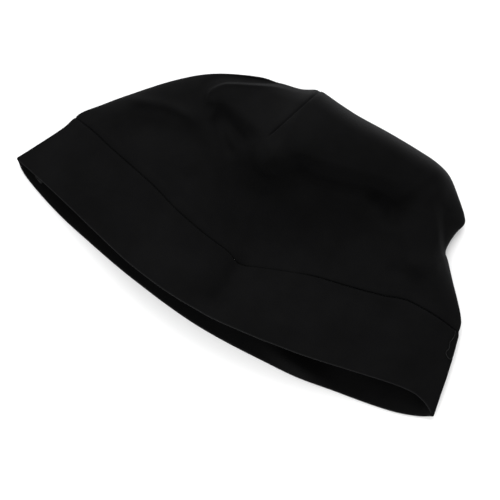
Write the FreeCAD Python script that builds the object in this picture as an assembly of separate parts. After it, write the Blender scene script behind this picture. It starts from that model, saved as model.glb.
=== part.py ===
import FreeCAD, Part
import math
import os

# Soft skull cap lying flat: a limp jersey crown on a folded band. It rests on its back panel.
# +X runs along the width of the rim, +Y from the rim towards the crown, +Z up from the surface
# that it lies on. All sizes are millimetres.
#
# A place on the cloth is (s, v) on the crown or (s, w) on the band: s is the half turn round the
# cap from the left fold (0) to the right one (1), v goes from the band's seam (0) to the top
# edge (1), and w from the rim (0) to the band's seam (1).

# ---- overall size -------------------------------------------------------------------------
rim_width = 268.0            # between the two folded corners of the rim, lying flat
seam_left_x = -118.0         # left end of the seam between band and crown
seam_right_x = 121.0         # right end of the same seam
seam_left_y = 36.0
seam_right_y = 46.0
crown_top_y = 118.0          # top edge of the crown above the line through the rim's corners

# ---- rim and seam lines -------------------------------------------------------------------
back_lip_droop = 26.0        # how far the middle of the back lip hangs past the corners
front_lip_droop = 19.0
front_lip_skew = 11.0        # the front lip is pulled up on its right half
front_lip_skew_power = 3     # more puts the pull nearer to the right corner
lip_roundness = 1.6          # shape of both lips' droop: more is more pointed in the middle
seam_droop = 24.0            # how far the band's seam sags below the line through its ends
seam_roundness = 4           # shape of that sag
seam_droop_fade = 1.5        # how fast the sag dies away up the crown

# ---- crown outline ------------------------------------------------------------------------
top_left_x = -5.0            # the top edge is nearly straight between these two
top_right_x = 45.0
left_shoulder = 1.5          # exponents of the two rounded shoulders: 2 is an ellipse,
right_shoulder = 1.8         # less is flatter

# ---- heights over the surface it lies on ---------------------------------------------------
fold_height = 5.0            # height of the side folds, where front and back meet
lip_height = 33.0            # rise of the front over the folds, at the middle of the mouth
seam_height = 24.0           # at the band's seam
hollow_height = 18.0         # at the bottom of the sunken middle
ridge_height = 41.0          # at the ridge along the top
hollow_place = 0.3           # where the hollow and the ridge lie, from the seam to the top edge
ridge_place = 0.7
arch_power = 1.3             # shape of the arch across: 1 is half an ellipse, more is pointed
fold_turn = 25.0             # degrees of the arch over which the back curls up to the fold

# ---- cloth ----------------------------------------------------------------------------------
jersey_thickness = 1.0       # one ply of the crown
band_thickness = 2.2         # two plies of the band, folded at the rim
seam_gap = 0.1               # between two cut edges that a seam holds together
rest_flat = 0.06             # depth over which the cloth is pressed flat where it lies

# ---- where the band is closed ---------------------------------------------------------------
closing_place = 29.0         # degrees round the back, from the left fold
closing_gap = 0.6            # between the two ends of the band
closing_stitches_start = 0.05    # shares of the way from the rim to the band's seam
closing_stitches_end = 0.90

# ---- overlocked seams, inside ---------------------------------------------------------------
overlock_width = 5.0
overlock_thickness = 1.4
overlock_clearance = 0.12    # between an overlocked edge and the ply that it lies on
band_overlock_start = 1.0    # from the band's seam
side_overlock_start = 2.5    # from the far edge of the band's overlock
side_overlock_top = 0.80     # value of v at which the side seams' overlock ends
side_overlock_inset = 0.5    # from the inside of the fold

# ---- darts ----------------------------------------------------------------------------------
dart_x = -12.0               # where both darts start, on the top edge
dart_top = 0.85              # value of v at which their overlock ends
front_dart_tip = 0.44        # value of v at the dart's tip
front_dart_lean = -0.29      # how far it moves to the right for each millimetre down
back_dart_tip = 0.50
back_dart_lean = 0.25

# ---- care label -----------------------------------------------------------------------------
label_width = 28.0
label_length = 22.0
label_thickness = 0.5
label_clearance = 0.4        # over the inside of the band, and behind the hinge line
label_stitch_width = 1.2
label_stitch_height = 0.8

# ---- loose end of the overlock thread -------------------------------------------------------
thread_diameter = 0.6
thread_clearance = 0.5       # off the band that it lies on
# its route, from the right end of the band's seam towards the rim: (s, w)
thread_route = ((0.950, 1.00), (0.944, 0.90), (0.947, 0.79), (0.955, 0.70), (0.968, 0.64))
thread_bend_share = 0.45     # of the shorter run, which a bend takes up

SAMPLES_ACROSS = 24          # from fold to fold
SAMPLES_UP = 12              # of a crown panel, and along a seam on it
SAMPLES_SHORT = 4            # of the band from rim to seam, and of a side seam's overlock
SAMPLES_STRIP = 2            # over the width of a narrow strip
EDGE_STEP = 0.004            # share of a ply's side over which its slope is measured
EDGE_INSET = 0.012           # how near to a fold the slope is still measured
os.makedirs("parts", exist_ok=True)


def vec(x, y, z):
    return FreeCAD.Vector(x, y, z)


def mix(a, b, t):
    return a + (b - a) * t


def ease(t):
    """0 to 1 with a level start and end."""
    return 0.5 - 0.5 * math.cos(math.pi * min(1.0, max(0.0, t)))


def across(s):
    """Share of a ply's width at s, bunched up towards both folds."""
    return 0.5 - 0.5 * math.cos(math.pi * s)


def arch(s):
    return max(0.0, math.sin(math.pi * s)) ** arch_power


def curl(s):
    """1 at a side fold, 0 where the back lies flat."""
    turn = 180.0 * min(s, 1.0 - s)
    return 1.0 - math.sin(0.5 * math.pi * min(1.0, max(0.0, turn / fold_turn)))


# ---- the two plies as surfaces: s runs from the left fold to the right one ------------------
def rim_point(s, front):
    """On the fold along the band's outer edge."""
    share = across(s)
    x = mix(-0.5, 0.5, share) * rim_width
    droop = front_lip_droop if front else back_lip_droop
    y = -droop * max(0.0, math.sin(math.pi * s)) ** lip_roundness
    if front:
        y += front_lip_skew * math.sin(math.pi * share ** front_lip_skew_power)
        return vec(x, y, fold_height + lip_height * arch(s))
    return vec(x, y, fold_height * curl(s))


def outline(v):
    """Left and right edge of the crown, v from the band's seam to the top edge."""
    turn = 0.5 * math.pi * v
    left = 2.0 / left_shoulder
    right = 2.0 / right_shoulder
    cosine = max(0.0, math.cos(turn))
    sine = math.sin(turn)
    a = vec(top_left_x + (seam_left_x - top_left_x) * cosine ** left,
            seam_left_y + (crown_top_y - seam_left_y) * sine ** left, fold_height)
    b = vec(top_right_x + (seam_right_x - top_right_x) * cosine ** right,
            seam_right_y + (crown_top_y - seam_right_y) * sine ** right, fold_height)
    return a, b


def crown_rise(v):
    """Rise of the front over the folds, in the middle: the hollow, then the ridge."""
    if v < hollow_place:
        return mix(seam_height, hollow_height, ease(v / hollow_place))
    if v < ridge_place:
        return mix(hollow_height, ridge_height, ease((v - hollow_place) / (ridge_place - hollow_place)))
    over = (v - ridge_place) / (1.0 - ridge_place)
    return ridge_height * math.sqrt(max(0.0, 1.0 - over * over))


def crown_point(s, v, front):
    a, b = outline(v)
    point = a + (b - a) * across(s)
    fade = (1.0 - math.sin(0.5 * math.pi * v)) ** seam_droop_fade
    point.y -= seam_droop * fade * math.sin(math.pi * s) ** seam_roundness
    if front:
        point.z = fold_height + crown_rise(v) * arch(s)
    else:
        top_curl = 1.0 - math.sin(0.5 * math.pi * min(1.0, (1.0 - v) / (1.0 - ridge_place)))
        point.z = fold_height * (1.0 - (1.0 - curl(s)) * (1.0 - top_curl))
    return point


def band_point(s, w, front):
    """w runs from the rim to the band's seam."""
    rim = rim_point(s, front)
    return rim + (crown_point(s, 0.0, front) - rim) * w


def inward(surface, s, v, front):
    """Unit vector from the outside of a ply to its inside, level along the folds."""
    s_near = min(1.0 - EDGE_INSET, max(EDGE_INSET, s))
    v_near = min(1.0 - EDGE_INSET, max(EDGE_STEP, v))
    along = surface(s_near + EDGE_STEP, v_near, front) - surface(s_near - EDGE_STEP, v_near, front)
    up = surface(s_near, v_near + EDGE_STEP, front) - surface(s_near, v_near - EDGE_STEP, front)
    normal = along.cross(up)
    if s in (0.0, 1.0) or (v == 1.0 and surface is crown_point):
        normal.z = 0.0
    normal.normalize()
    return normal * (-1.0 if front else 1.0)


# ---- solids ---------------------------------------------------------------------------------
def distances(rows):
    """Mean distance from the first point of a row to each of its points, over all rows."""
    reached = [0.0]
    for i in range(1, len(rows[0])):
        reached.append(reached[-1] + sum((row[i] - row[i - 1]).Length for row in rows) / len(rows))
    return reached


def through(points, parameters):
    curve = Part.BSplineCurve()
    curve.interpolate(Points=points, Parameters=parameters)
    return curve


def smooth_surface(rows):
    """Smooth surface through a grid of points, the same knots in every row."""
    columns = [list(column) for column in zip(*rows)]
    along = distances(rows)
    up = distances(columns)
    lengthways = [through(row, along) for row in rows]
    crossways = [through(list(poles), up) for poles in zip(*[c.getPoles() for c in lengthways])]
    surface = Part.BSplineSurface()
    surface.buildFromPolesMultsKnots([c.getPoles() for c in crossways],
                                     lengthways[0].getMultiplicities(), crossways[0].getMultiplicities(),
                                     lengthways[0].getKnots(), crossways[0].getKnots(),
                                     False, False, lengthways[0].Degree, crossways[0].Degree)
    return surface


def cloth(outside, inside):
    """Closed solid between two grids of points with the same rows and columns."""
    sides = [smooth_surface(grid) for grid in (outside, inside)]
    faces = [side.toShape() for side in sides]
    for i in range(2):
        outer, inner = (side.uIso(side.bounds()[i]).toShape() for side in sides)
        faces.append(Part.makeRuledSurface(outer, inner))
    for i in range(2, 4):
        outer, inner = (side.vIso(side.bounds()[i]).toShape() for side in sides)
        faces.append(Part.makeRuledSurface(outer, inner))
    shell = Part.Shell(faces)
    shell.sewShape()
    solid = Part.Solid(shell)
    if solid.Volume < 0.0:
        solid.reverse()
    return solid


def layer(surface, places, depth, thickness):
    """A ply or strip: rows of (s, v, front) places, from depth to depth + thickness inwards."""
    outside, inside = [], []
    for row in places:
        base = [(surface(*place), inward(surface, *place)) for place in row]
        outside.append([point + normal * depth for point, normal in base])
        inside.append([point + normal * (depth + thickness) for point, normal in base])
    return cloth(outside, inside)


def steps(start, end, count):
    return [mix(start, end, i / count) for i in range(count + 1)]


def loop(start, end):
    """Places once round the cap: along the back, over the right fold, back along the front."""
    back_right = [(s, False) for s in steps(start, 1.0, SAMPLES_ACROSS)]
    front = [(s, True) for s in steps(1.0, 0.0, SAMPLES_ACROSS)[1:]]
    back_left = [(s, False) for s in steps(0.0, end, SAMPLES_SHORT)[1:]]
    return back_right + front + back_left


def share_round(length):
    """What a length along the back, where the band is closed, takes up of the half turn."""
    return length / (0.5 * math.pi * rim_width * math.sin(math.pi * closing_place / 180.0))


def band_loop():
    """Places round the cap from one end of the band to the other."""
    start = closing_place / 180.0
    return loop(start, start - share_round(closing_gap))


def crown_share(share):
    """Value of v at a share of the crown's height."""
    return 2.0 / math.pi * math.asin(min(1.0, share) ** (0.5 * left_shoulder))


def turn_at(share):
    """Value of s at a share of the width from fold to fold."""
    return math.acos(1.0 - 2.0 * share) / math.pi


def crown_panel(front):
    """One crown panel, its cut edges half a seam gap short of the fold line and the band."""
    lower = seam_gap / (crown_top_y - seam_left_y)
    rows = [[(s, mix(lower, 1.0, ease(v)), front) for s in steps(0.0, 1.0, SAMPLES_ACROSS)]
            for v in steps(0.0, 1.0, SAMPLES_UP)]
    panel = layer(crown_point, rows, 0.0, jersey_thickness)
    panel.translate(vec(0.0, 0.0, 0.5 * seam_gap if front else 0.0))
    return panel


def folded_band():
    rows = [[(s, w, front) for s, front in band_loop()] for w in steps(0.0, 1.0, SAMPLES_SHORT)]
    return layer(band_point, rows, 0.0, band_thickness)


def pressed_flat(cloth_piece):
    """The piece without what would reach below the surface that it lies on."""
    under = Part.makeBox(2.0 * rim_width, 2.0 * rim_width, rim_width,
                         vec(-rim_width, -rim_width, rest_flat - rim_width))
    return cloth_piece.cut(under).Solids[0]


def band_overlock():
    """Overlocked allowance of the band's seam, lying inside against the crown."""
    height = crown_top_y - 0.5 * (seam_left_y + seam_right_y)
    low = band_overlock_start / height
    high = (band_overlock_start + overlock_width) / height
    rows = [[(s, crown_share(share), front) for s, front in band_loop()]
            for share in steps(low, high, SAMPLES_STRIP)]
    return layer(crown_point, rows, jersey_thickness + overlock_clearance, overlock_thickness)


def side_overlock(left):
    """Overlocked allowance of a side seam, turned onto the inside of the back panel."""
    start = crown_share((side_overlock_start + overlock_width) / (crown_top_y - seam_left_y))
    rows = []
    for v in steps(start, side_overlock_top, SAMPLES_UP):
        a, b = outline(v)
        width = (b - a).Length
        near = turn_at((jersey_thickness + side_overlock_inset) / width)
        far = turn_at((jersey_thickness + overlock_width) / width)
        span = steps(near, far, SAMPLES_SHORT)
        rows.append([(s if left else 1.0 - s, v, False) for s in span])
    return layer(crown_point, rows, jersey_thickness + overlock_clearance, overlock_thickness)


def dart_overlock(front):
    """Overlocked allowance of a panel's dart, from near the top edge down to the dart's tip."""
    tip = front_dart_tip if front else back_dart_tip
    lean = front_dart_lean if front else back_dart_lean
    rows = []
    for v in steps(tip, dart_top, SAMPLES_UP):
        a, b = outline(v)
        width = b.x - a.x
        middle = dart_x + lean * (crown_top_y - a.y)
        near = (middle - 0.5 * overlock_width - a.x) / width
        far = (middle + 0.5 * overlock_width - a.x) / width
        rows.append([(turn_at(share), v, front) for share in steps(near, far, SAMPLES_STRIP)])
    return layer(crown_point, rows, jersey_thickness + overlock_clearance, overlock_thickness)


def closing_stitches():
    """Row of stitches over the joint of the band's two ends, on its inside."""
    middle = closing_place / 180.0
    half = share_round(0.5 * overlock_width)
    rows = [[(s, w, False) for s in steps(middle - half, middle + half, SAMPLES_STRIP)]
            for w in steps(closing_stitches_start, closing_stitches_end, SAMPLES_SHORT)]
    return layer(band_point, rows, band_thickness + overlock_clearance, 0.5 * overlock_thickness)


def label_place():
    """Middle of the care label's sewn edge, on the inside of the back of the band."""
    seam = band_point(0.5, 1.0, False)
    return vec(seam.x, seam.y - label_stitch_width - 2.0 * label_clearance, band_thickness + label_clearance)


def care_label():
    hinge = label_place()
    return Part.makeBox(label_width, label_length, label_thickness,
                        vec(hinge.x - 0.5 * label_width, hinge.y - label_length, hinge.z))


def label_stitches():
    hinge = label_place()
    return Part.makeBox(label_width, label_stitch_width, label_stitch_height,
                        vec(hinge.x - 0.5 * label_width, hinge.y + label_clearance,
                            band_thickness + overlock_clearance))


def thread_end():
    """Loose end of the overlock thread: straight runs joined by tangent arcs, one round tube."""
    lift = thread_clearance + 0.5 * thread_diameter
    points = [band_point(s, w, True) - inward(band_point, s, w, True) * lift for s, w in thread_route]
    edges = []
    reached = points[0]
    for before, corner, after in zip(points, points[1:], points[2:]):
        into, out = corner - before, after - corner
        shorter = thread_bend_share * min(into.Length, out.Length)
        into.normalize()
        out.normalize()
        turn = into.getAngle(out)
        radius = shorter / math.tan(0.5 * turn)
        print("thread bend radius", round(radius, 2))
        begin, end = corner - into * shorter, corner + out * shorter
        inner = out - into
        inner.normalize()
        centre = corner + inner * (radius / math.cos(0.5 * turn))
        middle = centre - inner * radius
        edges.append(Part.LineSegment(reached, begin).toShape())
        edges.append(Part.Arc(begin, middle, end).toShape())
        reached = end
    edges.append(Part.LineSegment(reached, points[-1]).toShape())
    path = Part.Wire(edges)
    circle = Part.Circle(points[0], points[1] - points[0], 0.5 * thread_diameter)
    tube = path.makePipeShell([Part.Wire(circle.toShape())], True, True)
    section = math.pi * (0.5 * thread_diameter) ** 2
    print("thread volume", round(tube.Volume, 3), "section times length", round(section * path.Length, 3))
    return tube


shapes = {
    "band": pressed_flat(folded_band()),
    "crown_front": crown_panel(True),
    "crown_back": pressed_flat(crown_panel(False)),
    "band_overlock": band_overlock(),
    "side_overlock_left": side_overlock(True),
    "side_overlock_right": side_overlock(False),
    "front_dart_overlock": dart_overlock(True),
    "back_dart_overlock": dart_overlock(False),
    "band_closing_stitches": closing_stitches(),
    "care_label": care_label(),
    "label_stitches": label_stitches(),
    "loose_thread_end": thread_end(),
}

# the origin is the middle of the cap's outline seen from above, on the surface that it lies on
shift = vec(0.0, 0.5 * (back_lip_droop - crown_top_y), -rest_flat)
for name, shape in shapes.items():
    shape.translate(shift)
    shape.exportStep("parts/" + name + ".step")
    box = shape.optimalBoundingBox(True, False)
    print(name, shape.ShapeType, shape.isValid(), "volume", round(shape.Volume, 1),
          "box", [round(v, 1) for v in (box.XMin, box.YMin, box.ZMin, box.XMax, box.YMax, box.ZMax)])
hinge = label_place() + shift + vec(0.0, 0.0, 0.5 * label_thickness)
print("shift", [round(v, 3) for v in shift], "label hinge", [round(v, 3) for v in hinge])
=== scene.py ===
import math

import bpy
import numpy as np
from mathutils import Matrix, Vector


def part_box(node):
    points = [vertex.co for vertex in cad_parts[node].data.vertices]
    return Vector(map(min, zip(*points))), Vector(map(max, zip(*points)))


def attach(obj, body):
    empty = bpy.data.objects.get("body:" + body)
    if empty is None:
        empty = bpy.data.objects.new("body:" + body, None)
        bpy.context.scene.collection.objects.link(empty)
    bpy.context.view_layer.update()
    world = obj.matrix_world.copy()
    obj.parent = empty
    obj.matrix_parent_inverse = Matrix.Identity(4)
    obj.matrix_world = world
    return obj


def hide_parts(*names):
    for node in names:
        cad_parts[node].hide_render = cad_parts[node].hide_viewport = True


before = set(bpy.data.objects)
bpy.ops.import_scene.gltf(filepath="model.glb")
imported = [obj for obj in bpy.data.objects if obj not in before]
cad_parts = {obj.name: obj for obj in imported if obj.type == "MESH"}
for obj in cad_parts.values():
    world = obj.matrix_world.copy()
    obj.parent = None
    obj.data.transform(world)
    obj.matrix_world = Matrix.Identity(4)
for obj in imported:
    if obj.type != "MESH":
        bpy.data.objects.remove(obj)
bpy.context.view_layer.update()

# A limp black jersey skull cap lying on its back. Lengths below are millimetres in the cap's own
# plan: x along the rim, y from the line through the rim's two corners towards the crown, z up from
# the table. place() turns them into the frame's metres.
MM = 0.001
BACK_LIP_DROOP = 26.0
CORNER_LINE_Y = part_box("band")[0].y + BACK_LIP_DROOP * MM
PLY = 0.9                    # one ply of jersey
BAND_PLY = 2.1               # the two plies of the folded band
PLY_GAP = 0.12               # between the band's two plies
SIDE_FOLD_Z = 5.5            # height of the fold line at the sides and round the crown

# ---- outlines, left to right, as (x, y) -------------------------------------------------------
RIM_FRONT = [(-134, 0), (-125, -1.5), (-113, -3.5), (-95, -7), (-71, -12), (-49, -16), (-22, -18),
             (3, -17), (26, -14), (53, -9), (78, -3), (103, 3), (116, 5), (122, 4.6), (128, 3), (134, -0.5)]
RIM_BACK = [(-134, 0), (-124, -6), (-102, -13), (-80, -17.5), (-44, -23), (0, -26), (48, -22.5),
            (86, -16), (111, -10.5), (125, -5.5), (134, -0.5)]
SEAM_FRONT = [(-118.5, 35), (-105, 33.5), (-93, 31), (-64, 26), (-46, 21.5), (-32, 19), (-20, 17.5),
              (-9, 16.5), (0, 14), (11, 18.5), (26, 25), (39, 30), (54, 34), (74, 40), (84, 44),
              (92, 45.6), (107, 46), (122, 44.7)]
SEAM_BACK = [(-118.5, 35), (-90, 30), (-45, 21.5), (0, 19), (45, 23), (90, 36), (122, 44.7)]
CROWN_OUTLINE = [(-118.5, 35), (-117, 39.5), (-110, 48.5), (-101, 60), (-84, 80), (-68, 94.5),
                 (-50, 104.5), (-34, 109.8), (-22, 113), (-12, 117.5), (2, 117.2), (13, 117), (32, 118),
                 (50, 118.3), (63, 117.8), (73, 115), (84, 107), (91, 101), (93.3, 97), (92, 91),
                 (91.6, 84), (92.6, 78.5), (96, 75.5), (104, 67.4), (112.4, 59.3), (119.4, 51.6),
                 (122, 44.7)]
BAND_LEFT = [(-134, 0), (-131, 6), (-122, 25), (-118.5, 35)]
BAND_RIGHT = [(122, 44.7), (125, 36), (129, 21), (131.5, 10), (134, -0.5)]
OUTLINE_START = 0.020        # shares of the crown's outline that belong to the panel's short ends
OUTLINE_END = 0.980

# ---- heights of the front over the table, as (x, y, z) -----------------------------------------
FRONT_HEIGHTS = [
    # the lip of the mouth
    (-134, 0, 6), (-113, -3.5, 14), (-95, -7, 20), (-71, -12, 27), (-49, -16, 32), (-22, -18, 36),
    (3, -17, 37), (26, -14, 36), (53, -9, 33), (78, -3, 28), (103, 3, 20), (118, 5, 13), (134, 0, 6),
    # the band's seam
    (-118, 35, 8), (-93, 31, 15), (-64, 26, 21), (-32, 19, 25), (0, 14, 22), (25, 25, 18),
    (54, 34, 18), (84, 44, 18), (107, 46, 13), (121, 45, 8),
    # the left of the crown
    (-102, 52, 14), (-85, 62, 17), (-78, 46, 18), (-50, 50, 20), (-60, 70, 18), (-82, 76, 14),
    (-70, 88, 11), (-50, 98, 9), (-36, 66, 19),
    # the sunken middle
    (15, 36, 14), (-15, 38, 17), (40, 47, 16), (5, 55, 17), (-22, 55, 18), (60, 58, 19), (28, 66, 18),
    # under the raised strip and the right shoulder
    (-20, 90, 24), (10, 95, 29), (40, 100, 28), (65, 105, 24), (75, 78, 23), (95, 62, 18),
    (85, 90, 18), (106, 54, 13), (70, 66, 22), (5, 112, 27), (-30, 106, 10), (-40, 105, 8),
]

# Raised or sunken areas: height, and their edge as (x, y, how far it takes to fall to each side).
STRIP = (15.0, [(-55, 76.5, 7), (-61.5, 80, 2.4), (-63.6, 85.5, 1.3), (-59.8, 92.4, 1.0), (-54, 96.6, 1.0),
                (-45, 101.5, 1.1), (-35.5, 107, 1.5), (-27, 112, 4), (-18, 119, 8), (0, 130, 12),
                (50, 134, 14), (70, 124, 13), (70, 108, 10), (64, 99, 9), (54, 92.5, 7.5), (44, 89, 6.8),
                (30, 85, 6.8), (14, 80.3, 6.8), (0, 77, 6.5), (-7, 70, 6.5), (-16, 67, 6.5), (-23, 70.5, 6.5),
                (-30, 76.5, 6), (-40, 79, 6), (-50, 79.5, 6)])
LOWER_STEP = (0.30, [(-59, 83, 5), (-52, 76, 5), (-42, 67, 4.4), (-33, 60.5, 5), (-24, 58, 9),
                     (-12, 61, 10), (-2, 70, 8), (-14, 86, 7), (-40, 90, 6), (-56, 90, 5)])
NOSE = (-3.6, [(77, 99, 6), (79, 94, 3.4), (82.5, 88.5, 2.6), (87.5, 82, 2.2), (92, 78, 2.2),
               (104, 72, 4), (106, 100, 6), (92, 114, 8), (82, 108, 8)])

# Folds and creases: points along it, its height (less than 0 for a valley), half width.
STROKES = [
    ([(-67, 82), (-66.5, 90), (-61.5, 96.6), (-48.5, 103.3), (-37, 108.6), (-27, 113)], -1.8, 2.0),
    ([(-15, 81), (-8, 78), (0, 76.8), (9, 76.3), (19, 78), (30, 82), (40, 85.5), (48, 86), (53, 82),
      (55, 76)], -3.0, 4.0),
    ([(-60, 82.5), (-48, 78), (-36, 74), (-27, 72)], -3.8, 4.2),
    ([(-56, 79), (-47, 71), (-39, 65), (-31, 60)], -2.8, 3.6),
    ([(-61, 73), (-63.5, 78.5), (-64.3, 84.5), (-60.3, 92.6), (-47, 100.2), (-35, 107),
      (-26, 112)], 0.9, 1.9),
    ([(-103, 56), (-98.5, 59), (-86.6, 63.8), (-80, 66.3), (-71.7, 67.8), (-65, 68), (-56, 66.5)], 2.2, 3.0),
    ([(-96, 47), (-87, 50), (-75, 52.5), (-59, 57.6), (-48, 54), (-42, 47)], -2.6, 7.0),
    ([(0, 22), (0.5, 12), (0.8, 3), (0, -8), (-2, -18)], -3.6, 5.4),
    ([(36, 83), (46, 85), (55, 81), (61, 72)], -3.6, 6.0),
    ([(67.5, 116), (63, 104), (59.5, 94), (56.5, 85), (55, 76)], -4.4, 5.6),
    ([(-50, 34), (-46, 44), (-40, 54)], -1.2, 6.0),
    ([(96, 70), (86, 66), (74, 60)], 1.6, 5.0),
    ([(66, 52), (80, 56), (94, 58)], -1.6, 6.0),
]

# Soft lobes and hollows: place, height, radius.
LOBES = [
    (-109, 20, 2.0, 10), (-86, 7, 1.4, 10), (-33, 26, 2.2, 11), (-14, -4, 2.8, 9), (38, -1, 2.6, 11),
    (17, -6, 1.8, 8), (68, 18, 1.8, 12), (-15.5, 73, 4.8, 9), (94, 40, 1.0, 10),
    (-52, 40, 1.5, 13), (90, 65, 1.5, 11), (30, 12, 1.2, 10), (-60, 4, 1.2, 12), (104, 22, 1.4, 12),
    (24, 95, 1.4, 16), (-4, 100, 1.0, 12),
]

DART = [(-23.2, 79.5), (-13.5, 113.5), (-12, 118.6)]
DART_AT_SEAM = (-42.5, 21)   # where the dart's line would reach the band's seam
BACK_DART = [(0.5, 76), (-9, 111), (-12, 119)]
BACK_DART_AT_SEAM = (16.5, 19.5)


# ---- small mathematics ---------------------------------------------------------------------------
def smooth_line(points, count):
    """count points evenly spaced on a Catmull-Rom curve through the given ones."""
    p = np.array(points, float)
    p = np.vstack([2 * p[0] - p[1], p, 2 * p[-1] - p[-2]])
    t = np.linspace(0, 1, 24, endpoint=False)[:, None]
    spans = []
    for a, b, c, d in zip(p, p[1:], p[2:], p[3:]):
        spans.append(0.5 * (2 * b + (c - a) * t + (2 * a - 5 * b + 4 * c - d) * t ** 2
                            + (3 * b - a - 3 * c + d) * t ** 3))
    line = np.vstack(spans + [p[-2:-1]])
    at = np.linspace(0, 1, count)
    return along_line(line, at)


def line_lengths(line):
    return np.concatenate([[0], np.cumsum(np.linalg.norm(np.diff(line, axis=0), axis=1))])


def along_line(line, shares):
    """Points at the given shares of a line's length."""
    reached = line_lengths(line)
    at = np.asarray(shares) * reached[-1]
    return np.stack([np.interp(at, reached, line[:, k]) for k in range(line.shape[1])], axis=1)


def ease(t):
    t = np.clip(t, 0, 1)
    return t * t * (3 - 2 * t)


def near_line(xy, line):
    """Distance of each point from a line in plan, and which of its points is nearest, as a share."""
    best = np.full(len(xy), np.inf)
    share = np.zeros(len(xy))
    for i, (a, b) in enumerate(zip(line[:, :2], line[1:, :2])):
        d = b - a
        t = np.clip((xy - a) @ d / max(d @ d, 1e-9), 0, 1)
        off = np.linalg.norm(xy - a - t[:, None] * d, axis=1)
        closer = off < best
        best = np.where(closer, off, best)
        share = np.where(closer, (i + t) / (len(line) - 1), share)
    return best, share


def inside(xy, line):
    """Whether each point is inside a closed line, by counting crossings."""
    hits = np.zeros(len(xy), bool)
    for a, b in zip(line[:, :2], np.roll(line[:, :2], -1, axis=0)):
        crosses = (a[1] > xy[:, 1]) != (b[1] > xy[:, 1])
        x_at = a[0] + (xy[:, 1] - a[1]) * (b[0] - a[0]) / (b[1] - a[1] + 1e-12)
        hits ^= crosses & (xy[:, 0] < x_at)
    return hits


def bunched(count, length, rolls, spots=()):
    """count shares from 0 to 1 of a length. They crowd together towards an end over which the cloth
    rolls (its radius in rolls), and around each spot (share, width)."""
    t = np.linspace(0, length, 2401)
    density = np.ones_like(t)
    for radius, off in zip(rolls, (t, length - t)):
        density += np.sqrt(radius / (off + 0.03))
    for share, width in spots:
        density += 5.0 * np.exp(-((t - share * length) / width) ** 2)
    reached = np.concatenate([[0], np.cumsum(density[1:] + density[:-1])])
    return np.interp(np.linspace(0, reached[-1], count), reached, t) / length


class ThinPlate:
    """Smoothest surface through scattered heights."""

    def __init__(self, heights, slack):
        p = np.array(heights, float)
        self.xy = p[:, :2] / 100
        n = len(p)
        a = np.zeros((n + 3, n + 3))
        a[:n, :n] = self.bend(self.xy) + slack * np.eye(n)
        a[:n, n] = a[n, :n] = 1
        a[:n, n + 1:] = self.xy
        a[n + 1:, :n] = self.xy.T
        self.weights = np.linalg.solve(a, np.concatenate([p[:, 2], np.zeros(3)]))

    def bend(self, xy):
        r2 = ((xy[:, None] - self.xy[None]) ** 2).sum(2)
        return 0.5 * r2 * np.log(np.maximum(r2, 1e-12))

    def __call__(self, xy):
        xy = xy / 100
        n = len(self.xy)
        return self.bend(xy) @ self.weights[:n] + self.weights[n] + xy @ self.weights[n + 1:]


class Plateau:
    """A raised area with an edge that falls more or less softly."""

    def __init__(self, edge):
        self.line = smooth_line(edge + edge[:1], 260)

    def __call__(self, xy):
        off, share = near_line(xy, self.line)
        fall = np.interp(share, np.linspace(0, 1, len(self.line)), self.line[:, 2])
        signed = np.where(inside(xy, self.line), off, -off)
        return ease(0.5 + signed / (2 * fall))


# ---- the cap's surfaces ---------------------------------------------------------------------------
front_base = ThinPlate(FRONT_HEIGHTS, 0.002)
strip_area, step_area, nose_area = (Plateau(edge) for _, edge in (STRIP, LOWER_STEP, NOSE))
stroke_lines = [(smooth_line(points, 40), height, width) for points, height, width in STROKES]
whole_outline = np.vstack([smooth_line(BAND_LEFT, 60), smooth_line(CROWN_OUTLINE, 600),
                           smooth_line(BAND_RIGHT, 60)])
cap_outline = np.vstack([whole_outline, smooth_line(RIM_BACK, 60)[::-1]])


def front_height(xy):
    """Height of the front over the table, before it rolls over to the back at the folds."""
    z = front_base(xy)
    along = np.interp(xy[:, 0], [-65, -45, -15, 5, 35, 75], [0.28, 0.42, 0.95, 0.72, 0.6, 0.42])
    z += STRIP[0] * along * (1 - (1 - strip_area(xy)) * (1 - LOWER_STEP[0] * step_area(xy)))
    z += NOSE[0] * nose_area(xy)
    for line, height, width in stroke_lines:
        off, share = near_line(xy, line)
        fade = ease(share * 4) * ease((1 - share) * 4)
        z += height * fade * np.exp(-(off / width) ** 2)
    for x, y, height, radius in LOBES:
        z += height * np.exp(-((xy[:, 0] - x) ** 2 + (xy[:, 1] - y) ** 2) / radius ** 2)
    return z


def roll_radius(xy):
    """How far in from the fold the front reaches its full height."""
    top = ease((xy[:, 1] - 85) / 20) * ease((xy[:, 0] + 30) / 25)
    shelf = np.exp(-((xy[:, 0] + 54) / 16) ** 2 - ((xy[:, 1] - 101) / 9) ** 2)
    return 9 + top - 6 * shelf


def roll(t):
    t = np.clip(t, 0, 1)
    return np.sqrt(1 - (1 - t) ** 2)


def front_surface(xy):
    off, _ = near_line(xy, whole_outline)
    z = SIDE_FOLD_Z + (front_height(xy) - SIDE_FOLD_Z) * roll(off / roll_radius(xy))
    return np.column_stack([xy, z])


def back_surface(xy):
    """The back lies on the table, and curls up to the folds."""
    off, _ = near_line(xy, whole_outline)
    wave = 1 + np.sin(xy[:, 0] / 17 + xy[:, 1] / 31) * np.cos(xy[:, 1] / 14)
    ripple = 0.3 * wave * ease(off / 25) * ease((xy[:, 1] - 22) / 15)
    z = SIDE_FOLD_Z * (1 - roll(off / 8)) + ripple
    lip = np.exp(-((xy[:, 0] - 57) / 15) ** 2 - ((xy[:, 1] + 16.5) / 5) ** 2)
    return np.column_stack([xy, z + 3.0 * lip])


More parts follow.
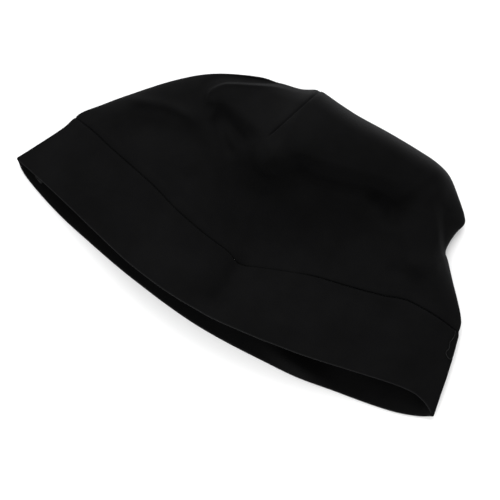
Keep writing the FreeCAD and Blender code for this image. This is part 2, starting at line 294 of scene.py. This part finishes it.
def kept_in(points, margin):
    """The same points, moved where needed so that in plan they stay a margin inside the cap's outline."""
    flat = points.reshape(-1, points.shape[-1])
    xy = flat[:, :2]
    off, share = near_line(xy, whole_outline)
    at = np.linspace(0, 1, len(whole_outline))
    foot = np.stack([np.interp(share, at, whole_outline[:, k]) for k in range(2)], axis=1)
    side = np.where(inside(xy, cap_outline), 1, -1)
    inwards = unit(xy - foot) * side[:, None]
    margin = np.broadcast_to(margin, len(xy))
    moved = np.where((off * side < margin)[:, None], foot + inwards * margin[:, None], xy)
    return np.column_stack([moved, flat[:, 2:]]).reshape(points.shape)


# ---- meshes -----------------------------------------------------------------------------------
def place(points):
    out = np.array(points, float) * MM
    out[..., 1] += CORNER_LINE_Y
    return out


def unit(vectors):
    return vectors / np.maximum(np.linalg.norm(vectors, axis=-1, keepdims=True), 1e-9)


def grid_normals(grid):
    """Unit normals of a grid of points, rows by columns."""
    return unit(np.cross(np.gradient(grid, axis=1), np.gradient(grid, axis=0)))


def mesh_object(name, points, faces, uv=None):
    mesh = bpy.data.meshes.new(name)
    mesh.from_pydata([tuple(p) for p in points], [], faces)
    if uv is not None:
        layer = mesh.uv_layers.new(name="cloth")
        loops = np.zeros(len(mesh.loops), np.int32)
        mesh.loops.foreach_get("vertex_index", loops)
        layer.data.foreach_set("uv", np.asarray(uv, np.float32)[loops].ravel())
    mesh.validate()
    mesh.shade_smooth()
    piece = bpy.data.objects.new(name, mesh)
    bpy.context.scene.collection.objects.link(piece)
    return piece


def grid_faces(rows, columns, start=0, wrap=False, flip=False):
    faces = []
    last = columns if wrap else columns - 1
    for r in range(rows - 1):
        for c in range(last):
            a = start + r * columns + c
            b = start + r * columns + (c + 1) % columns
            quad = (a, b, b + columns, a + columns)
            faces.append(quad[::-1] if flip else quad)
    return faces


def shell(outer, inner, flip):
    """Points and faces of a closed ply between two grids, with its cut edges closed off."""
    rows, columns = outer.shape[:2]
    count = rows * columns
    faces = grid_faces(rows, columns, 0, False, flip)
    faces += grid_faces(rows, columns, count, False, not flip)
    border = [(0, c) for c in range(columns)]
    border += [(r, columns - 1) for r in range(1, rows)]
    border += [(rows - 1, c) for c in range(columns - 2, -1, -1)]
    border += [(r, 0) for r in range(rows - 2, 0, -1)]
    for (r0, c0), (r1, c1) in zip(border, border[1:] + border[:1]):
        a, b = r0 * columns + c0, r1 * columns + c1
        quad = (b, a, a + count, b + count)
        faces.append(quad[::-1] if flip else quad)
    return np.vstack([outer.reshape(-1, 3), inner.reshape(-1, 3)]), faces


def cloth_uv(grid):
    """Centimetres across and up the cloth, for the knit's direction."""
    step = np.linalg.norm(np.diff(grid[:, :, 1:], axis=0), axis=2)
    v = grid[0, :, 1] + np.vstack([np.zeros(grid.shape[1]), np.cumsum(step, axis=0)])
    return np.column_stack([grid[:, :, 0].ravel(), v.ravel()]) * 0.1


def tube(path, radius, sides):
    """Points and faces of a thin round tube along a path, closed at both ends."""
    tangent = unit(np.gradient(path, axis=0))
    side = unit(np.cross(tangent, np.array([0.13, 0.21, 0.97])))
    other = np.cross(tangent, side)
    turn = np.linspace(0, 2 * np.pi, sides, endpoint=False)
    rings = (path[:, None] + radius * (side[:, None] * np.cos(turn)[None, :, None]
                                       + other[:, None] * np.sin(turn)[None, :, None]))
    faces = grid_faces(len(path), sides, 0, True, True)
    last = (len(path) - 1) * sides
    faces += [tuple(range(sides)), tuple(range(last + sides - 1, last - 1, -1))]
    return rings.reshape(-1, 3), faces


def joined(name, parts):
    """One mesh from several lots of points and faces, each lot's faces counted from its own first point."""
    points, faces, count = [], [], 0
    for lot_points, lot_faces in parts:
        points.append(lot_points)
        faces += [tuple(i + count for i in face) for face in lot_faces]
        count += len(lot_points)
    return mesh_object(name, place(np.vstack(points)), faces)


def stands_for(piece, node, body, material):
    piece.name = node + "_made"
    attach(piece, body)
    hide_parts(node)
    piece.data.materials.append(material)


# ---- crown and band ---------------------------------------------------------------------------------
CROWN_COLUMNS, CROWN_ROWS = 400, 112
NOTCH_CLEAR = 0.12           # kept off the outline there, as a share of the way to the column's end
NOTCH_X = 78.0               # columns right of this are kept clear of the notch
BAND_COLUMNS, BAND_ROWS = 220, 40
BAND_DEPTH = 44.0
CLOSING_X = -110.5           # where the band's two ends meet, on the back
SEAM_TUCK, SEAM_WIDTH = 1.0, 0.42        # how far a seam's edges turn in, and over what width
DART_DEPTH, DART_WIDTH = 0.9, 0.45
# how much of the seam's tuck shows, by x
SEAM_PULL = [(-119, 0.3), (-112, 0.7), (-30, 0.6), (-2, 0.5), (8, 0.22), (30, 0.3), (48, 1.0),
             (85, 1.4), (112, 1.2), (122, 0.3)]


def tuck(distance, x):
    pull = np.interp(x, *zip(*SEAM_PULL))
    return SEAM_TUCK * pull * np.exp(-(distance / SEAM_WIDTH) ** 2)


def puff(distance, height, width):
    """Cloth stands a little proud just beside a seam."""
    return height * np.exp(-((distance - width) / width) ** 2)


def from_first_row(grid):
    """Length along the cloth from the first row of a grid, for every point."""
    step = np.linalg.norm(np.diff(grid, axis=0), axis=2)
    return np.vstack([np.zeros(grid.shape[1]), np.cumsum(step, axis=0)])


class CrownPanel:
    """A crown panel: rows from the band's seam out to the fold, one column along the dart."""

    def __init__(self, name, front, material):
        self.front = front
        grid = self.surface()
        normal = grid_normals(grid) * (1 if front else -1)
        from_seam = from_first_row(grid)
        from_fold = from_first_row(grid[::-1])[::-1]
        dart_line = smooth_line(DART if front else BACK_DART, 60)
        off, share = near_line(grid[:, :, :2].reshape(-1, 2), dart_line)
        off, share = off.reshape(grid.shape[:2]), share.reshape(grid.shape[:2])
        lift = puff(from_seam, 0.4, 2.4) - tuck(from_seam, grid[0, :, 0]) - 0.5 * tuck(from_fold, 0.0)
        lift += ease(share * 9) * (puff(off, 0.2, 2.0) - DART_DEPTH * np.exp(-(off / DART_WIDTH) ** 2))
        self.outer = grid + normal * (lift if front else np.minimum(lift, 0.0))[:, :, None]
        self.outer[:, :, 2] = np.maximum(self.outer[:, :, 2], 0.0)
        self.inward = -grid_normals(self.outer) * (1 if front else -1)
        self.inner = self.outer + self.inward * PLY
        points, faces = shell(self.outer, self.inner, not front)
        uv = cloth_uv(grid)
        self.piece = mesh_object(name, place(points), faces, np.vstack([uv, uv]))
        stands_for(self.piece, name, "cap", material)

    def surface(self):
        seam = smooth_line(SEAM_FRONT if self.front else SEAM_BACK, 2000)
        outline = smooth_line(CROWN_OUTLINE, 2000)
        outline = outline[int(OUTLINE_START * 2000):int(OUTLINE_END * 2000)]
        dart_top = np.array(DART[-1] if self.front else BACK_DART[-1])
        dart_foot = np.array(DART_AT_SEAM if self.front else BACK_DART_AT_SEAM)
        at_top = np.linalg.norm(outline - dart_top, axis=1).argmin() / len(outline)
        at_seam = np.linalg.norm(seam - dart_foot, axis=1).argmin() / len(seam)
        shares = bunched(CROWN_COLUMNS, line_lengths(seam)[-1], (5.0, 5.0), [(at_seam, 2.5)])
        self.dart_column = np.abs(shares - at_seam).argmin()
        # the columns lean over so that one of them runs along the dart
        lean = np.where(shares < at_seam, ease(shares / at_seam), ease((1 - shares) / (1 - at_seam)))
        low = along_line(seam, shares)
        high = along_line(outline, shares + (at_top - at_seam) * lean)
        plan = np.empty((CROWN_ROWS, CROWN_COLUMNS, 2))
        for c in range(CROWN_COLUMNS):
            length = np.linalg.norm(high[c] - low[c])
            v = bunched(CROWN_ROWS, length, (0.25, 9.0), [(0.0, 1.2)])
            plan[:, c] = low[c] + (high[c] - low[c]) * v[:, None]
        # straight columns would cut across the notch at the right
        to_end = np.linalg.norm(plan[-1] - plan, axis=2)
        near = (plan[:, :, 0] > NOTCH_X) & (to_end > 0.01)
        plan[near] = kept_in(plan[near], NOTCH_CLEAR * to_end[near])
        surface = front_surface if self.front else back_surface
        grid = surface(plan.reshape(-1, 2)).reshape(CROWN_ROWS, CROWN_COLUMNS, 3)
        grid[-1, :, 2] = grid[:, 0, 2] = grid[:, -1, 2] = SIDE_FOLD_Z
        return grid


class Band:
    """The band: one strip folded double at the rim, closed round the head."""

    def __init__(self, material):
        back, front = self.side(False), self.side(True)
        ring = np.concatenate([back, front[:, -2:0:-1]], axis=1)
        around = (np.roll(ring, -1, axis=1) - np.roll(ring, 1, axis=1)) / 2
        up = np.gradient(ring, axis=0)
        normal = -unit(np.cross(around, up))
        from_seam = from_first_row(ring[::-1])[::-1]
        lift = puff(from_seam, 0.25, 2.4) - tuck(from_seam, ring[-1, :, 0])
        outer = ring + normal * lift[:, :, None]
        outer[:, :, 2] = np.maximum(outer[:, :, 2], 0.0)
        half = 0.5 * BAND_PLY
        layers = [outer - normal * depth for depth in (0.0, half - PLY_GAP / 2, half + PLY_GAP / 2, BAND_PLY)]
        down = -unit(up[0])
        centre = outer[0] - normal[0] * half
        rolled = [[centre + (normal[0] * math.cos(a) + down * math.sin(a)) * radius
                   for a in np.linspace(0, np.pi, count + 2)[1:-1]]
                  for radius, count in ((half, 9), (PLY_GAP / 2, 3))]
        section = np.concatenate([layers[0][::-1], np.array(rolled[0]), layers[3],
                                  layers[2][::-1], np.array(rolled[1])[::-1], layers[1]])
        rows, columns = section.shape[:2]
        faces = grid_faces(rows, columns, 0, True)
        for c in range(columns):
            a, b = c, (c + 1) % columns
            faces.append((b, a, a + (rows - 1) * columns, b + (rows - 1) * columns))
        u = line_lengths(ring[0])
        v = line_lengths(section[:, columns // 4])
        v -= v[BAND_ROWS + 4]
        uv = np.stack(np.meshgrid(u, v), axis=2).reshape(-1, 2) * 0.1
        self.inner, self.inward = layers[3][:, :BAND_COLUMNS], -normal[:, :BAND_COLUMNS]
        self.piece = mesh_object("band", place(section.reshape(-1, 3)), faces, uv)
        stands_for(self.piece, "band", "cap", material)

    def side(self, front):
        """Outer points of the band's front or back, rows from the rim to the seam."""
        rim = smooth_line(RIM_FRONT if front else RIM_BACK, 2000)
        seam = smooth_line(SEAM_FRONT if front else SEAM_BACK, 2000)
        shares = bunched(BAND_COLUMNS, line_lengths(rim)[-1], (9.0, 9.0))
        low, high = along_line(rim, shares), along_line(seam, shares)
        w = 1 - bunched(BAND_ROWS, BAND_DEPTH, (0.25, 0.25), [(0.0, 1.2)])[::-1]
        plan = low[None] + (high - low)[None] * w[:, None, None]
        # the strip's ends follow the curved side folds
        length = line_lengths(rim)[-1]
        for column, fold, off in ((0, BAND_LEFT, shares), (-1, BAND_RIGHT[::-1], 1 - shares)):
            bow = along_line(smooth_line(fold, 400), w) - plan[:, column]
            plan = plan + bow[:, None] * np.exp(-off * length / 9)[None, :, None]
        surface = front_surface if front else back_surface
        grid = surface(plan.reshape(-1, 2)).reshape(BAND_ROWS, BAND_COLUMNS, 3)
        grid[:, 0, 2] = grid[:, -1, 2] = SIDE_FOLD_Z
        return grid


# ---- overlocked seams and stitches --------------------------------------------------------------------
OVERLOCK_WIDTH = 5.0
OVERLOCK_PITCH = 2.3         # from one stitch to the next
THREAD_RADIUS = 0.2
CLEAR = 0.12                 # off the ply that a strip lies on
STRIP_ROWS = 6
STRIP_MARGIN = 1.6           # from a strip's cloth to the cap's outline, in plan
THREAD_MARGIN = 1.8          # from its thread to the outline
SEAM_THICK, SIDE_THICK, CLOSING_THICK = 1.3, 1.2, 0.55
FROM_SEAM, FROM_FOLD = 1.0, 1.5          # from a seam or a side fold to its overlock's near edge
SIDE_LEFT_END, SIDE_RIGHT_END = -24, 60  # the x at which the side overlocks stop, along the top
FRONT_DART_SPAN = (81, 113)              # y from and to which a dart's overlock runs
BACK_DART_SPAN = (78, 109)


def strip_places(panel, lengths, columns, start=None, across=False):
    """Points and inward directions on a ply's inside, at lengths along each column of its grid."""
    both = np.concatenate([panel.inner, panel.inward], axis=2)
    if across:
        both = both.transpose(1, 0, 2)
    if lengths[0] < 0 and start is None:
        both, lengths = both[::-1], [-length for length in lengths]
    reached = from_first_row(both[:, :, :3])
    out = []
    for c in columns:
        at = np.array(lengths) + (reached[start, c] if start is not None else 0.0)
        out.append(np.stack([np.interp(at, reached[:, c], both[:, c, k]) for k in range(6)], axis=1))
    return np.array(out).transpose(1, 0, 2)


def thinned(places, spacing):
    """The same strip with its columns about evenly spaced along it."""
    middle = places[places.shape[0] // 2, :, :3]
    length = line_lengths(middle)
    count = max(4, int(length[-1] / spacing))
    at = np.linspace(0, length[-1], count)
    flat = places.transpose(1, 0, 2).reshape(len(middle), -1)
    even = np.stack([np.interp(at, length, flat[:, k]) for k in range(flat.shape[1])], axis=1)
    return even.reshape(count, places.shape[0], 6).transpose(1, 0, 2)


def overlock(name, places, thickness, material, flip):
    """A strip of cut cloth edges wrapped in thread: one row of needle stitches, and loops across."""
    places = thinned(places, 0.5 * OVERLOCK_PITCH)
    base, inward = places[:, :, :3], unit(places[:, :, 3:])
    rows, columns = base.shape[:2]
    across = np.linspace(-1, 1, rows)[:, None, None]
    swell = 0.25 + 0.75 * np.sqrt(np.maximum(0, 1 - across ** 4))
    height = CLEAR + (thickness - CLEAR) * swell
    tops = kept_in(base + inward * height, STRIP_MARGIN)
    parts = [shell(kept_in(base + inward * CLEAR, STRIP_MARGIN), tops, flip)]
    lifted = kept_in(base + inward * (height + 0.6 * THREAD_RADIUS), THREAD_MARGIN)
    stitch = []
    for c in range(0, columns - 1, 2):
        stitch.append(lifted[1, c])
        stitch.append(lifted[-1, min(c + 1, columns - 1)])
    parts.append(tube(smooth_line(stitch, 6 * len(stitch)), THREAD_RADIUS, 5))
    parts.append(tube(lifted[1, :], THREAD_RADIUS, 5))
    parts.append(tube(lifted[-1, :], THREAD_RADIUS, 5))
    piece = joined(name, parts)
    stands_for(piece, name, "cap", material)


def overlocks(front, back, band, material):
    wide = list(np.linspace(FROM_SEAM, FROM_SEAM + OVERLOCK_WIDTH, STRIP_ROWS))
    ends = CROWN_COLUMNS
    closing = np.abs(back.inner[0, :, 0] - CLOSING_X).argmin()
    ring = np.concatenate([strip_places(back, wide, range(closing + 2, ends - 8)),
                           strip_places(front, wide, range(ends - 9, 8, -1)),
                           strip_places(back, wide, range(9, closing - 2))], axis=1)
    overlock("band_overlock", ring, SEAM_THICK, material, False)
    inset = [-(FROM_FOLD + d) for d in np.linspace(0.0, OVERLOCK_WIDTH, STRIP_ROWS)]
    fold_x = back.inner[-1, :, 0]
    left = [c for c in range(30, back.dart_column) if fold_x[c] < SIDE_LEFT_END]
    right = [c for c in range(back.dart_column, ends - 30) if fold_x[c] > SIDE_RIGHT_END]
    overlock("side_overlock_left", strip_places(back, inset, left), SIDE_THICK, material, True)
    overlock("side_overlock_right", strip_places(back, inset, right), SIDE_THICK, material, True)
    beside = list(np.linspace(-0.5 * OVERLOCK_WIDTH, 0.5 * OVERLOCK_WIDTH, STRIP_ROWS))
    for name, panel, (low, high) in (("front_dart_overlock", front, FRONT_DART_SPAN),
                                     ("back_dart_overlock", back, BACK_DART_SPAN)):
        line_y = panel.inner[:, panel.dart_column, 1]
        rows = [r for r in range(CROWN_ROWS) if low < line_y[r] < high]
        places = strip_places(panel, beside, rows, panel.dart_column, True)
        overlock(name, places, SEAM_THICK, material, panel.front)
    line_y = band.inner[:, closing_column(band), 1]
    rows = range(3, BAND_ROWS - 6)
    places = strip_places(band, beside, rows, closing_column(band), True)
    overlock("band_closing_stitches", places, CLOSING_THICK, material, True)


def closing_column(band):
    return np.abs(band.inner[BAND_ROWS // 2, :, 0] - CLOSING_X).argmin()


# ---- care label ------------------------------------------------------------------------------------
LABEL_ROWS, LABEL_COLUMNS = 45, 57
LABEL_PLY = 0.25


def care_label(material):
    """A blank woven label, sewn in by one edge, with heat-cut sides and one woven hem line."""
    low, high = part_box("care_label")
    x = np.linspace(low.x, high.x, LABEL_COLUMNS)
    y = np.linspace(low.y, high.y, LABEL_ROWS)
    gx, gy = np.meshgrid(x / MM, (y - CORNER_LINE_Y) / MM)
    down = (high.y / MM - CORNER_LINE_Y / MM) - gy
    wave = 0.07 * np.sin(gx / 6.5) * ease(down / 8) + 0.05 * np.sin(down / 4.0)
    edge = np.minimum(gx - gx.min(), gx.max() - gx)
    bead = 0.06 * np.exp(-(edge / 0.5) ** 2) + 0.05 * np.exp(-((down - 20.6) / 0.35) ** 2)
    middle = 0.5 * (low.z + high.z) / MM
    top = np.dstack([gx, gy, middle + wave + LABEL_PLY / 2 + bead])
    bottom = np.dstack([gx, gy, middle + wave - LABEL_PLY / 2])
    points, faces = shell(top, bottom, False)
    uv = np.column_stack([gx.ravel(), gy.ravel()]) * 0.1
    piece = mesh_object("care_label", place(points), faces, np.vstack([uv, uv]))
    stands_for(piece, "care_label", "label", material)


def label_stitches(material):
    """The label's sewn edge, and the row of stitches over it."""
    low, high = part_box("label_stitches")
    x = np.linspace(low.x, high.x, 29) / MM
    y = (np.linspace(low.y, high.y, 5) - CORNER_LINE_Y) / MM
    gx, gy = np.meshgrid(x, y)
    bottom = low.z / MM + 0.02
    swell = 0.22 * np.sqrt(np.maximum(0, 1 - ((gy - gy.mean()) / (gy.max() - gy.min()) * 1.9) ** 2))
    top = np.dstack([gx, gy, bottom + 0.1 + swell])
    parts = [shell(top, np.dstack([gx, gy, np.full_like(gx, bottom)]), False)]
    for start in np.arange(x[0] + 0.6, x[-1] - 2.0, 2.5):
        t = np.linspace(0, 1, 9)
        rise = 0.38 * np.sin(np.pi * t)
        arc = np.column_stack([start + 1.9 * t, np.full(9, y.mean()), bottom + 0.1 + rise])
        parts.append(tube(arc, 0.16, 6))
    piece = joined("label_stitches", parts)
    stands_for(piece, "label_stitches", "cap", material)


# ---- loose thread end ------------------------------------------------------------------------------
THREAD_ROUTE = [(119.6, 45.0), (120.6, 41.0), (120.2, 38.0), (121.6, 35.0), (121.2, 32.5), (123.0, 30.6),
                (125.2, 30.2), (125.6, 31.6)]


def loose_thread(material):
    """The seam's last stitches run out in a thin tail of thread that lies on the band."""
    plan = smooth_line(THREAD_ROUTE, 60)
    on_cloth = front_surface(plan)
    on_cloth[:, 2] += 0.55 + 0.25 * np.sin(np.linspace(0, 9, len(plan)))
    parts = [tube(on_cloth, 0.15, 7)]
    twist = np.linspace(0, 26, len(plan))[:, None]
    upwards = np.array([0.0, 0.0, 1.0])
    around = unit(np.cross(np.gradient(on_cloth, axis=0), upwards))
    second = on_cloth + 0.2 * (around * np.cos(twist) + upwards * np.sin(twist))
    parts.append(tube(second, 0.1, 6))
    piece = joined("loose_thread_end", parts)
    stands_for(piece, "loose_thread_end", "cap", material)


# ---- materials --------------------------------------------------------------------------------
class Nodes:
    """A little shorthand for building a material's nodes."""

    def __init__(self, name, roughness, specular):
        self.material = bpy.data.materials.new(name)
        self.material.use_nodes = True
        self.tree = self.material.node_tree
        self.shader = self.tree.nodes["Principled BSDF"]
        self.shader.inputs["Roughness"].default_value = roughness
        self.shader.inputs["Specular IOR Level"].default_value = specular

    def add(self, kind, **settings):
        node = self.tree.nodes.new(kind)
        for key, value in settings.items():
            setattr(node, key, value)
        return node

    def link(self, a, b):
        self.tree.links.new(a, b)

    def math(self, operation, a, b=None):
        node = self.add("ShaderNodeMath", operation=operation)
        for socket, value in zip(node.inputs, (a, b)):
            if value is None:
                continue
            if isinstance(value, (int, float)):
                socket.default_value = value
            else:
                self.link(value, socket)
        return node.outputs[0]

    def noise(self, vector, scale, detail=2.0, roughness=0.5):
        node = self.add("ShaderNodeTexNoise")
        node.inputs["Scale"].default_value = scale
        node.inputs["Detail"].default_value = detail
        node.inputs["Roughness"].default_value = roughness
        self.link(vector, node.inputs["Vector"])
        return node.outputs["Fac"]

    def ramp(self, value, stops):
        node = self.add("ShaderNodeValToRGB")
        for element, (position, colour) in zip(node.color_ramp.elements, stops):
            element.position = position
            element.color = (*colour, 1.0)
        self.link(value, node.inputs["Fac"])
        return node.outputs["Color"]

    def bump(self, height, distance, strength, below=None):
        node = self.add("ShaderNodeBump")
        node.inputs["Distance"].default_value = distance
        node.inputs["Strength"].default_value = strength
        self.link(height, node.inputs["Height"])
        if below is not None:
            self.link(below, node.inputs["Normal"])
        return node.outputs["Normal"]


HIGHLIGHT_WIDTH = 0.16            # of the painted highlight along the folded edge, to each side, in centimetres
WALE = 0.075                 # from one column of stitches to the next, in centimetres
COURSE = 0.058               # from one row to the next
SHEEN = 0.034
BLACK = (0.0021, 0.0021, 0.0022)
# painted highlight: the lighter tone of the band's folded edge, for the light that the fold catches
PAINTED_FOLD_HIGHLIGHT = (0.004, 0.004, 0.0042)


def knit(n):
    """Height of single jersey: columns of V-shaped stitches."""
    where = n.add("ShaderNodeUVMap", uv_map="cloth")
    split = n.add("ShaderNodeSeparateXYZ")
    n.link(where.outputs["UV"], split.inputs["Vector"])
    u = n.math("FRACT", n.math("DIVIDE", split.outputs["X"], WALE))
    from_middle = n.math("MULTIPLY", n.math("ABSOLUTE", n.math("SUBTRACT", u, 0.5)), 2.0)
    leg = n.math("SUBTRACT", 1.0, n.math("POWER", from_middle, 2.0))
    v = n.math("ADD", n.math("DIVIDE", split.outputs["Y"], COURSE), n.math("MULTIPLY", from_middle, 0.45))
    wave = n.math("MULTIPLY", n.math("SINE", n.math("MULTIPLY", v, 2 * math.pi)), 0.3)
    return n.math("MULTIPLY", leg, n.math("ADD", wave, 0.7))


def jersey(name, tone, fold_highlight):
    """Black single jersey: fine columns of stitches, a soft sheen at the turns, a little lint, and in a
    second tone a painted highlight along the folded edge.
    """
    n = Nodes(name, 0.9, 0.04)
    n.shader.inputs["Sheen Weight"].default_value = SHEEN
    n.shader.inputs["Sheen Roughness"].default_value = 0.32
    n.shader.inputs["Sheen Tint"].default_value = (0.93, 0.95, 1.0, 1.0)
    where = n.add("ShaderNodeTexCoord").outputs["Object"]
    cloud = n.noise(where, 34.0, 3.0, 0.6)
    cloth = n.ramp(cloud, [(0.34, [0.8 * t for t in tone]), (0.68, [1.24 * t for t in tone])])
    specks = n.add("ShaderNodeTexVoronoi")
    specks.inputs["Scale"].default_value = 38.0
    n.link(where, specks.inputs["Vector"])
    lint = n.math("LESS_THAN", specks.outputs["Distance"], 0.011)
    mix = n.add("ShaderNodeMix", data_type="RGBA")
    n.link(lint, mix.inputs["Factor"])
    n.link(cloth, mix.inputs["A"])
    mix.inputs["B"].default_value = (0.02, 0.02, 0.021, 1.0)
    # painted highlight: the folded edge at v = 0 is coloured a little lighter, for the light that the fold
    # catches
    split = n.add("ShaderNodeSeparateXYZ")
    n.link(n.add("ShaderNodeUVMap", uv_map="cloth").outputs["UV"], split.inputs["Vector"])
    off_fold = n.math("DIVIDE", n.math("ABSOLUTE", split.outputs["Y"]), HIGHLIGHT_WIDTH)
    highlight_mix = n.add("ShaderNodeMix", data_type="RGBA")
    n.link(n.math("SUBTRACT", 1.0, n.math("MINIMUM", off_fold, 1.0)), highlight_mix.inputs["Factor"])
    n.link(mix.outputs["Result"], highlight_mix.inputs["A"])
    highlight_mix.inputs["B"].default_value = (*fold_highlight, 1.0)
    n.link(highlight_mix.outputs["Result"], n.shader.inputs["Base Color"])
    pilling = n.bump(n.noise(where, 900.0, 2.0, 0.7), 0.0002, 0.25)
    n.link(n.bump(knit(n), 0.00012, 0.4, pilling), n.shader.inputs["Normal"])
    return n.material


def thread(name):
    """Spun polyester thread, black and a little glossier than the cloth."""
    n = Nodes(name, 0.55, 0.16)
    where = n.add("ShaderNodeTexCoord").outputs["Object"]
    n.link(n.ramp(n.noise(where, 400.0), [(0.3, (0.0018, 0.0018, 0.0019)), (0.7, (0.004, 0.004, 0.0043))]),
           n.shader.inputs["Base Color"])
    twist = n.add("ShaderNodeTexWave")
    twist.inputs["Scale"].default_value = 1600.0
    twist.inputs["Distortion"].default_value = 2.0
    n.link(where, twist.inputs["Vector"])
    n.link(n.bump(twist.outputs["Fac"], 0.0001, 0.5), n.shader.inputs["Normal"])
    return n.material


def satin(name):
    """Soft white satin tape with a fine weave."""
    n = Nodes(name, 0.38, 0.45)
    n.shader.inputs["Sheen Weight"].default_value = 0.2
    where = n.add("ShaderNodeUVMap", uv_map="cloth")
    split = n.add("ShaderNodeSeparateXYZ")
    n.link(where.outputs["UV"], split.inputs["Vector"])
    lengthways = n.math("SINE", n.math("MULTIPLY", split.outputs["X"], 2 * math.pi / 0.032))
    crossways = n.math("SINE", n.math("MULTIPLY", split.outputs["Y"], 2 * math.pi / 0.045))
    weave = n.math("ADD", lengthways, n.math("MULTIPLY", crossways, 0.4))
    soil = n.noise(n.add("ShaderNodeTexCoord").outputs["Object"], 120.0)
    colour = n.ramp(soil, [(0.3, (0.62, 0.61, 0.58)), (0.7, (0.74, 0.73, 0.70))])
    n.link(colour, n.shader.inputs["Base Color"])
    n.link(n.bump(weave, 0.00006, 0.5), n.shader.inputs["Normal"])
    return n.material


def paper(name):
    """The plain white table."""
    n = Nodes(name, 0.9, 0.2)
    where = n.add("ShaderNodeTexCoord").outputs["Object"]
    n.link(n.ramp(n.noise(where, 3.0), [(0.3, (0.90, 0.90, 0.90)), (0.7, (0.92, 0.92, 0.92))]),
           n.shader.inputs["Base Color"])
    return n.material


# ---- stage --------------------------------------------------------------------------------------
PICTURE_SPAN = 0.2744        # width of the picture at the table
VIEW_X, VIEW_Y = 0.0008, CORNER_LINE_Y + 0.0235
TURN = math.radians(31.69)   # the cap lies turned clockwise
CAMERA_HEIGHT = 1.8
FLOOR_HALF = 3.0
WORLD = 1.0                  # strengths of the world's light and of the two lamps
KEY = 48.0
MOUTH = 0.4


def camera():
    data = bpy.data.cameras.new("camera")
    data.sensor_width = 36.0
    data.lens = data.sensor_width * CAMERA_HEIGHT / PICTURE_SPAN
    data.clip_end = 20.0
    eye = bpy.data.objects.new("camera", data)
    eye.location = (VIEW_X, VIEW_Y, CAMERA_HEIGHT)
    eye.rotation_euler = (0.0, 0.0, TURN)
    bpy.context.scene.collection.objects.link(eye)
    bpy.context.scene.camera = eye


def floor():
    h = FLOOR_HALF
    piece = mesh_object("floor", [(-h, -h, 0), (h, -h, 0), (h, h, 0), (-h, h, 0)], [(0, 1, 2, 3)])
    piece.location.z = -0.0001
    piece.data.materials.append(paper("floor"))


def soft_light(name, towards, distance, size, power):
    """A square studio light that shines at the cap from a direction."""
    data = bpy.data.lights.new(name, "AREA")
    data.size = size
    data.energy = power
    lamp = bpy.data.objects.new(name, data)
    direction = Vector(towards).normalized()
    lamp.location = direction * distance
    lamp.rotation_mode = "QUATERNION"
    lamp.rotation_quaternion = direction.to_track_quat("Z", "Y")
    bpy.context.scene.collection.objects.link(lamp)


def mouth_light():
    """A low strip of light that stands on the table before the mouth. Its middle is below the front
    lip, so that it mostly lights the inside, the lips' edges and the table."""
    data = bpy.data.lights.new("mouth", "AREA")
    data.shape = "RECTANGLE"
    data.size, data.size_y = 0.28, 0.03
    data.energy = MOUTH
    lamp = bpy.data.objects.new("mouth", data)
    lamp.location = (0.03, CORNER_LINE_Y - 0.16, 0.02)
    lamp.rotation_euler = (math.radians(90), 0.0, 0.0)
    lamp.visible_camera = False
    bpy.context.scene.collection.objects.link(lamp)


def lights():
    world = bpy.data.worlds.new("studio")
    world.use_nodes = True
    world.node_tree.nodes["Background"].inputs["Color"].default_value = (1.0, 1.0, 1.0, 1.0)
    world.node_tree.nodes["Background"].inputs["Strength"].default_value = WORLD
    bpy.context.scene.world = world
    up = (-math.sin(TURN), math.cos(TURN))
    soft_light("key", (up[0], up[1], 0.95), 2.0, 1.7, KEY)
    mouth_light()
    bpy.context.scene.view_settings.view_transform = "Standard"


camera()
lights()
floor()
crown_jersey = jersey("crown_jersey", BLACK, BLACK)
# the band's cloth carries the painted highlight along its folded edge
band_jersey = jersey("band_jersey", BLACK, PAINTED_FOLD_HIGHLIGHT)
black_thread = thread("overlock_thread")
crown_front = CrownPanel("crown_front", True, crown_jersey)
crown_back = CrownPanel("crown_back", False, crown_jersey)
band = Band(band_jersey)
overlocks(crown_front, crown_back, band, black_thread)
care_label(satin("label_satin"))
label_stitches(black_thread)
loose_thread(black_thread)
